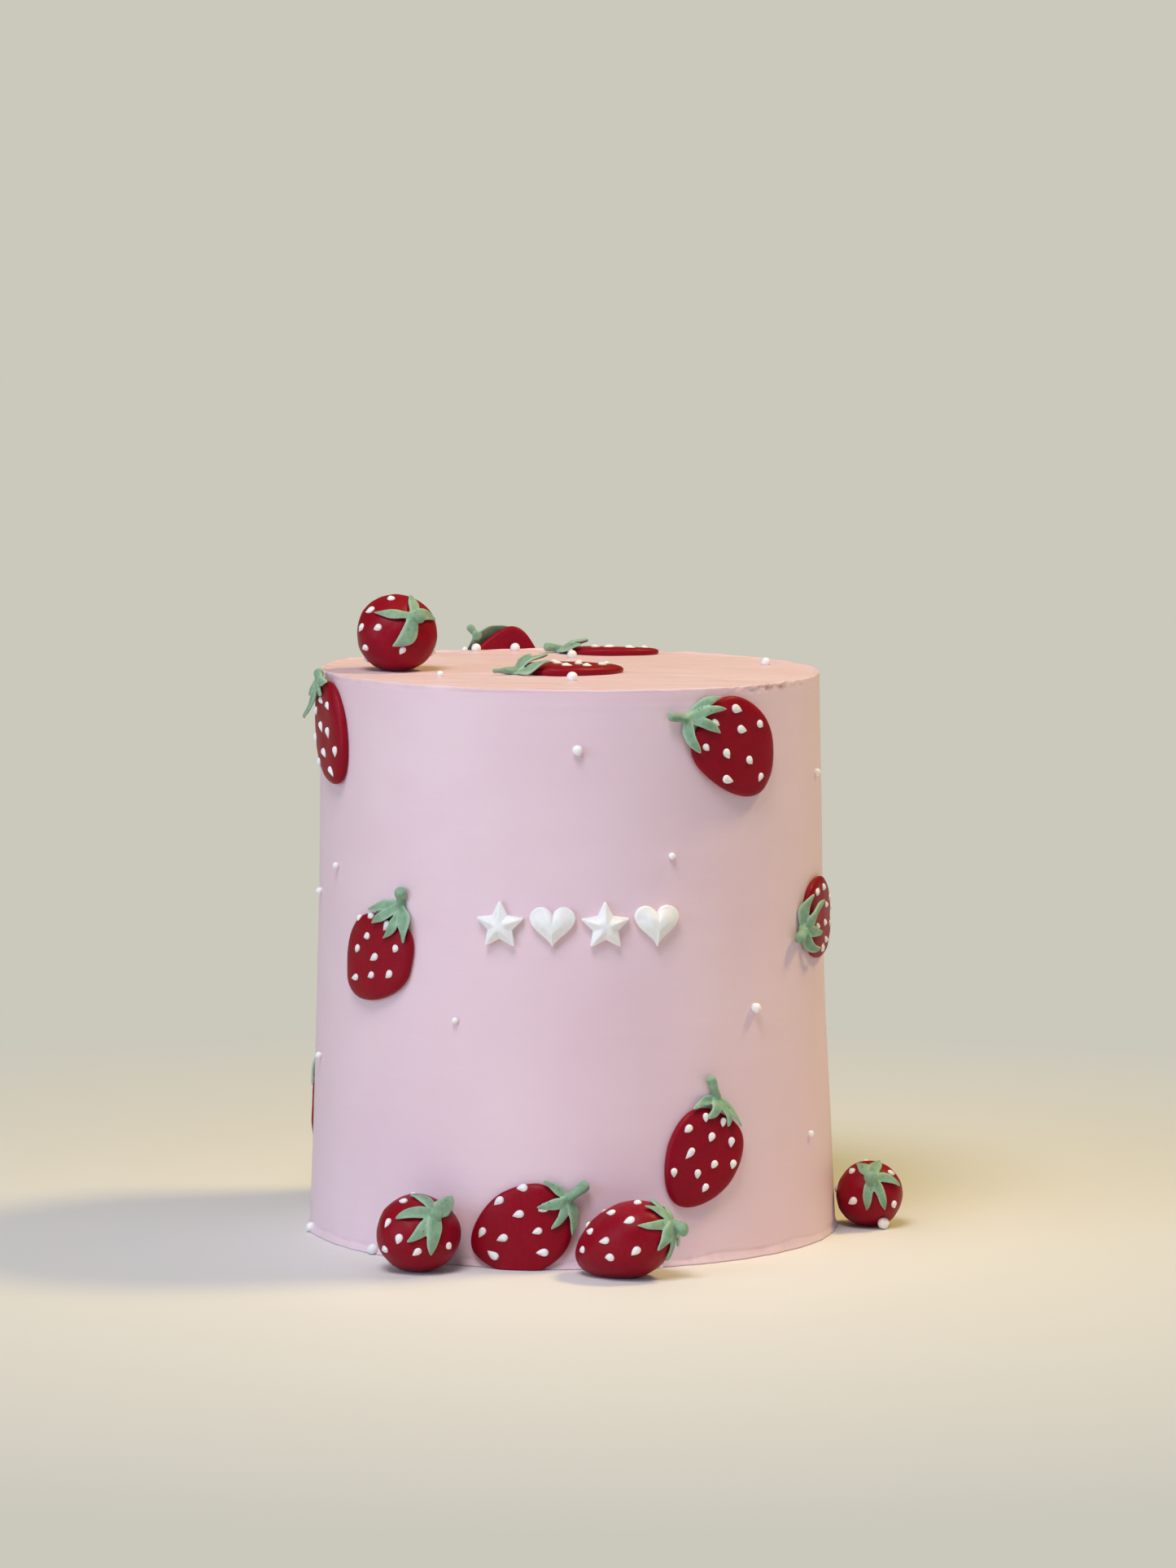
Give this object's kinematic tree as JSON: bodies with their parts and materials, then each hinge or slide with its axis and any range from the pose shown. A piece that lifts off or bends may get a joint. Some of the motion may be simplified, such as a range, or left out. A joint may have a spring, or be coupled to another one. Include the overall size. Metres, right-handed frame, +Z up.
{
  "type": "birthday cake",
  "caption": "Tall round pink iced birthday cake with flat and rolled sugar strawberries, bevelled white stars and hearts, and white sugar pearls.",
  "frame": {"origin": "on the cake's axis at its foot, where it stands", "axes": "+Z up; -Y is the front, with the row of stars and hearts; +X is to the right as seen from the front"},
  "size_m": [0.1785, 0.1829, 0.1899],
  "materials": {
    "icing": "smooth matt pale pink icing",
    "red_fondant": "matt deep red sugar paste with a fine grain",
    "green_fondant": "matt sage green sugar paste with darker pin-prick dots",
    "white_sugar": "smooth white sugar with a soft sheen"
  },
  "bodies": {
    "root": {"cake": "icing", "berry_upper_right": "red_fondant", "calyx_upper_right": "green_fondant", "berry_mid_left": "red_fondant", "calyx_mid_left": "green_fondant", "berry_lower_right": "red_fondant", "calyx_lower_right": "green_fondant", "berry_front_foot": "red_fondant", "calyx_front_foot": "green_fondant", "berry_upper_left": "red_fondant", "calyx_upper_left": "green_fondant", "berry_mid_right": "red_fondant", "calyx_mid_right": "green_fondant", "berry_left_low": "red_fondant", "calyx_left_low": "green_fondant", "berry_back_rim": "red_fondant", "calyx_back_rim": "green_fondant", "berry_back_upper": "red_fondant", "calyx_back_upper": "green_fondant", "berry_back_middle": "red_fondant", "calyx_back_middle": "green_fondant", "berry_back_left": "red_fondant", "calyx_back_left": "green_fondant", "berry_back_low": "red_fondant", "calyx_back_low": "green_fondant", "berry_top_front": "red_fondant", "calyx_top_front": "green_fondant", "berry_top_back": "red_fondant", "calyx_top_back": "green_fondant", "berry_ball_top": "red_fondant", "calyx_ball_top": "green_fondant", "berry_foot_left": "red_fondant", "calyx_foot_left": "green_fondant", "berry_foot_right": "red_fondant", "calyx_foot_right": "green_fondant", "berry_right_back": "red_fondant", "calyx_right_back": "green_fondant", "star_1": "white_sugar", "heart_2": "white_sugar", "star_3": "white_sugar", "heart_4": "white_sugar"}
  },
  "joints": []
}
